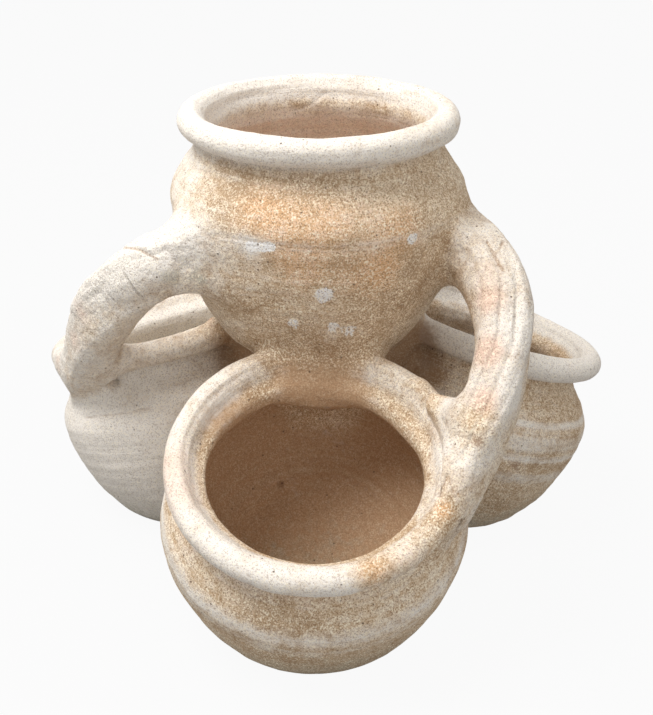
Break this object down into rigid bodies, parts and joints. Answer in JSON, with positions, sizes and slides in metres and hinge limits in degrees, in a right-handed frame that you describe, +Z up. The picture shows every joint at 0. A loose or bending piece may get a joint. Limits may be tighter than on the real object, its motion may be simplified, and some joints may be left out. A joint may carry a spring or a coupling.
{
  "type": "strawberry jar planter",
  "caption": "Unglazed clay cluster planter: rounded bowls lean outward round a middle axis, a further bowl stands on their rims, and strap handles tie them together.",
  "frame": {"origin": "on the ground, in the middle of the planter's outline seen from above", "axes": "+Z up; the front bowl faces -Y, and the right bowl lies towards +X"},
  "size_m": [0.4538, 0.4252, 0.3551],
  "materials": {
    "clay_bowls": "matt unglazed sandy clay, weathered",
    "clay_collar": "matt unglazed sandy clay",
    "clay_handles": "matt unglazed sandy clay with a pale lime bloom"
  },
  "bodies": {
    "root": {"front_bowl": "clay_bowls", "right_bowl": "clay_bowls", "left_bowl": "clay_bowls", "upper_bowl": "clay_bowls", "middle_collar": "clay_collar", "front_handle": "clay_handles", "rear_handle": "clay_handles", "left_handle": "clay_handles"}
  },
  "joints": []
}
